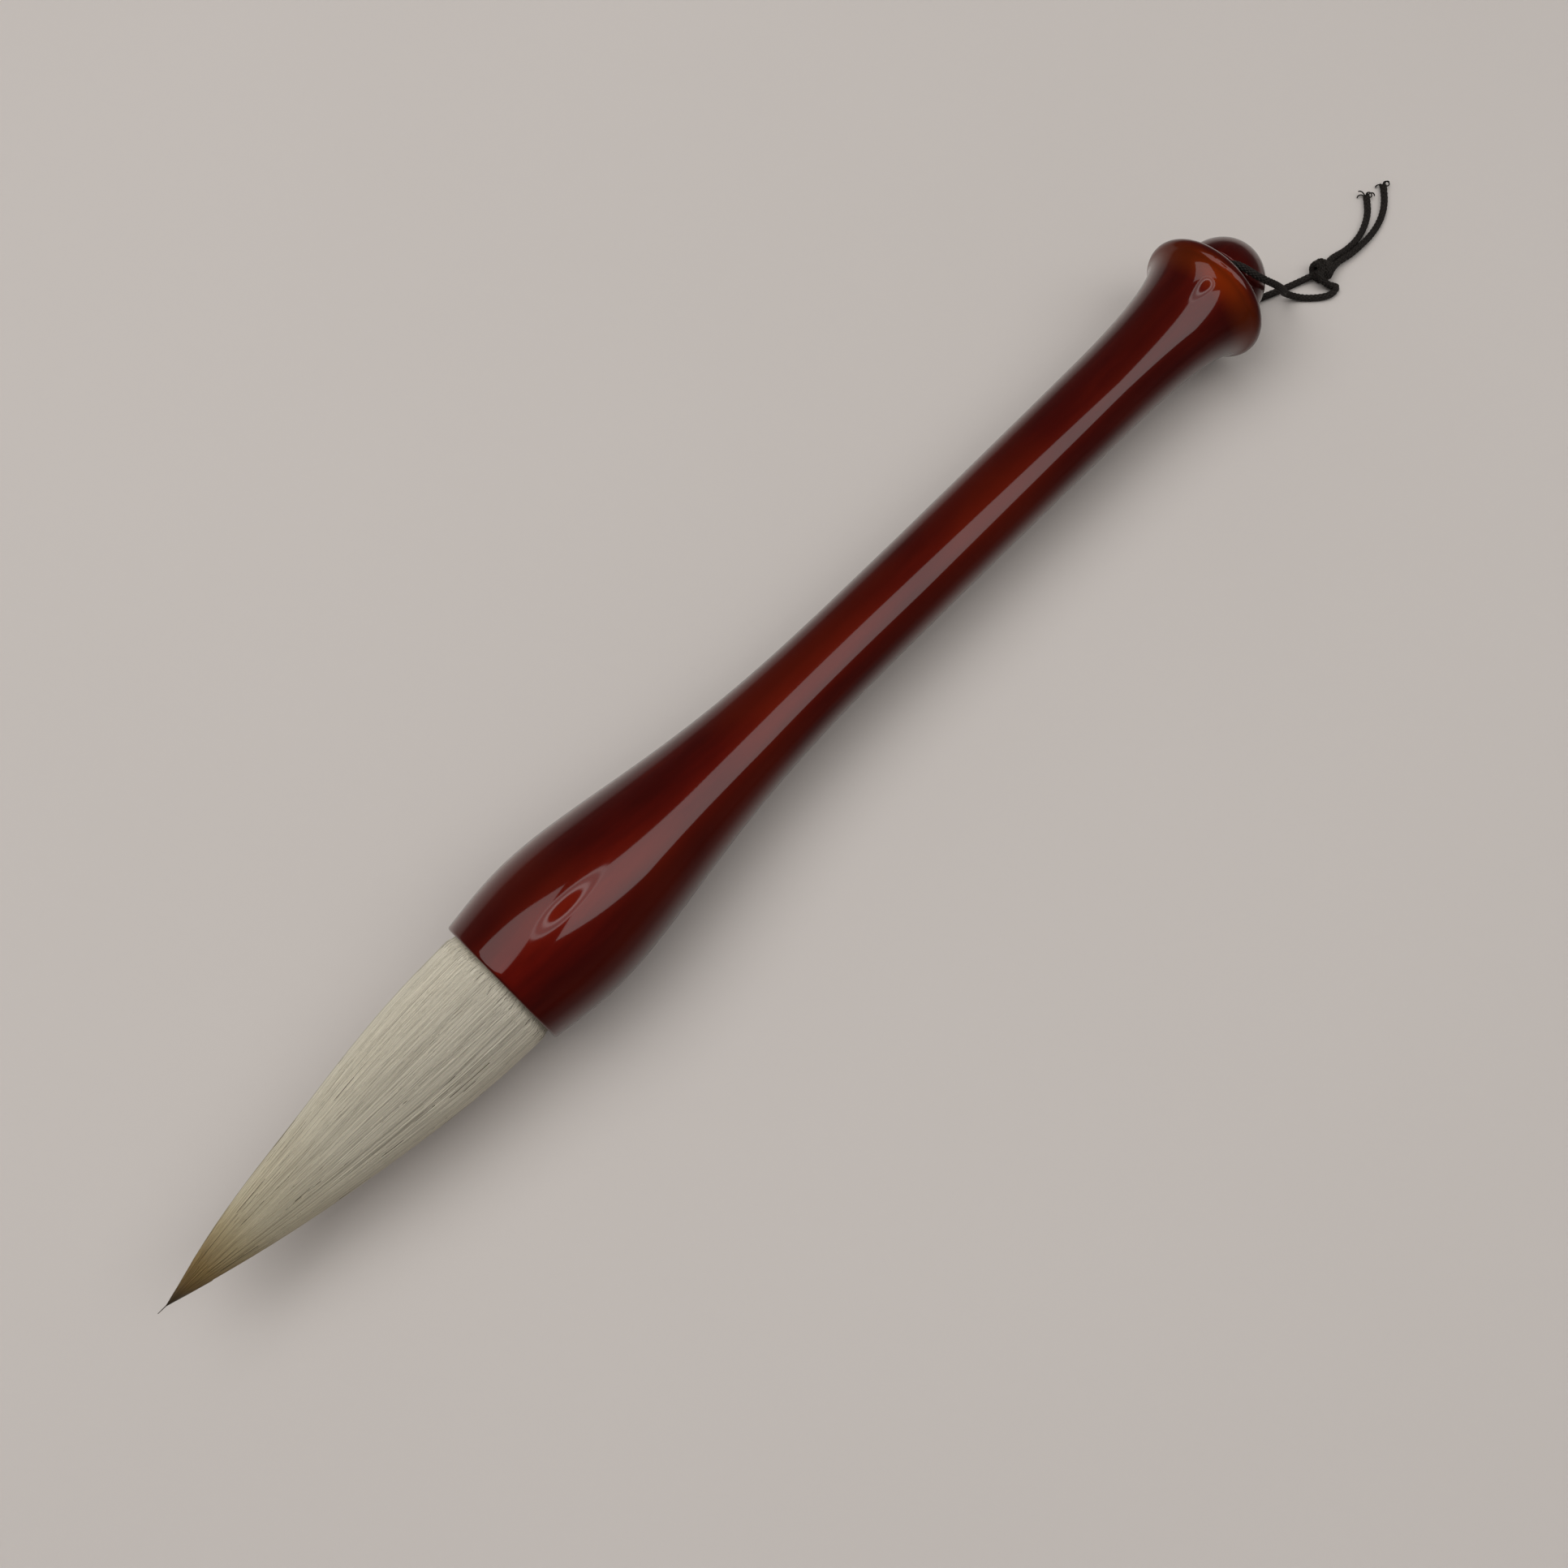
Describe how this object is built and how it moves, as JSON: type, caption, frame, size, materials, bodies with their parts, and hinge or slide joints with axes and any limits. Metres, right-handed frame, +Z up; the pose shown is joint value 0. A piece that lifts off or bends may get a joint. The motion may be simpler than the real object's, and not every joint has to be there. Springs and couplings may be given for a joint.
{
  "type": "calligraphy brush",
  "caption": "Large-belly writing brush: turned lacquered handle with a trumpet-shaped end, a pointed hair tuft in the cup, a dome knob and a knotted hanging cord.",
  "frame": {"origin": "centre of the handle's mouth, on the brush's axis, where the hair leaves the wood", "axes": "+X along the axis towards the hanging end (the hair points along -X), +Z up with the brush lying on its side"},
  "size_m": [0.2987, 0.0286, 0.0274],
  "materials": {
    "lacquered_wood": "gloss lacquer",
    "cover_hair": "brushed goat hair",
    "lining_hair": "brushed goat hair",
    "core_hair": "stiff hair",
    "thread": "twisted silk",
    "rosin": "glassy",
    "glue": "glassy",
    "cord": "braided"
  },
  "bodies": {
    "handle": {"handle_body": "lacquered_wood", "end_knob": "lacquered_wood", "knob_glue": "glue", "socket_glue": "glue", "root_rosin": "rosin", "binding_thread": "thread", "core_hairs_root": "core_hair", "lining_hairs_root": "lining_hair", "cover_hairs_root": "cover_hair"},
    "tuft_belly": {"core_hairs_belly": "core_hair", "lining_hairs_belly": "lining_hair", "cover_hairs_belly": "cover_hair"},
    "tuft_tip": {"core_hairs_tip": "core_hair", "cover_hairs_tip": "cover_hair"},
    "cord_loop": {"hanging_cord_loop": "cord"},
    "cord_knot": {"hanging_cord_knot": "cord"},
    "long_tail": {"cord_tail_long": "cord"},
    "short_tail": {"cord_tail_short": "cord"}
  },
  "joints": [
    {"name": "tuft_bend", "type": "hinge", "parent": "handle", "child": "tuft_belly", "pos_m": [-0.002, 0, 0], "axis": [0, 0, 1], "range_deg": [-30, 30]},
    {"name": "tip_bend", "type": "hinge", "parent": "tuft_belly", "child": "tuft_tip", "pos_m": [-0.036, 0, 0], "axis": [0, 0, 1], "range_deg": [-40, 40]},
    {"name": "loop_swing", "type": "hinge", "parent": "handle", "child": "cord_loop", "pos_m": [0.1793, 0, 0], "axis": [0, 0, 1], "range_deg": [-12, 38]},
    {"name": "knot_swing", "type": "hinge", "parent": "cord_loop", "child": "cord_knot", "pos_m": [0.2039, -0.0098, -0.01045], "axis": [0, 0, 1], "range_deg": [-20, 45]},
    {"name": "long_tail_swing", "type": "hinge", "parent": "cord_knot", "child": "long_tail", "pos_m": [0.2039, -0.0098, -0.01045], "axis": [0, 0, 1], "range_deg": [-20, 0]},
    {"name": "short_tail_swing", "type": "hinge", "parent": "cord_knot", "child": "short_tail", "pos_m": [0.2039, -0.0098, -0.01045], "axis": [0, 0, 1], "range_deg": [0, 25]}
  ]
}
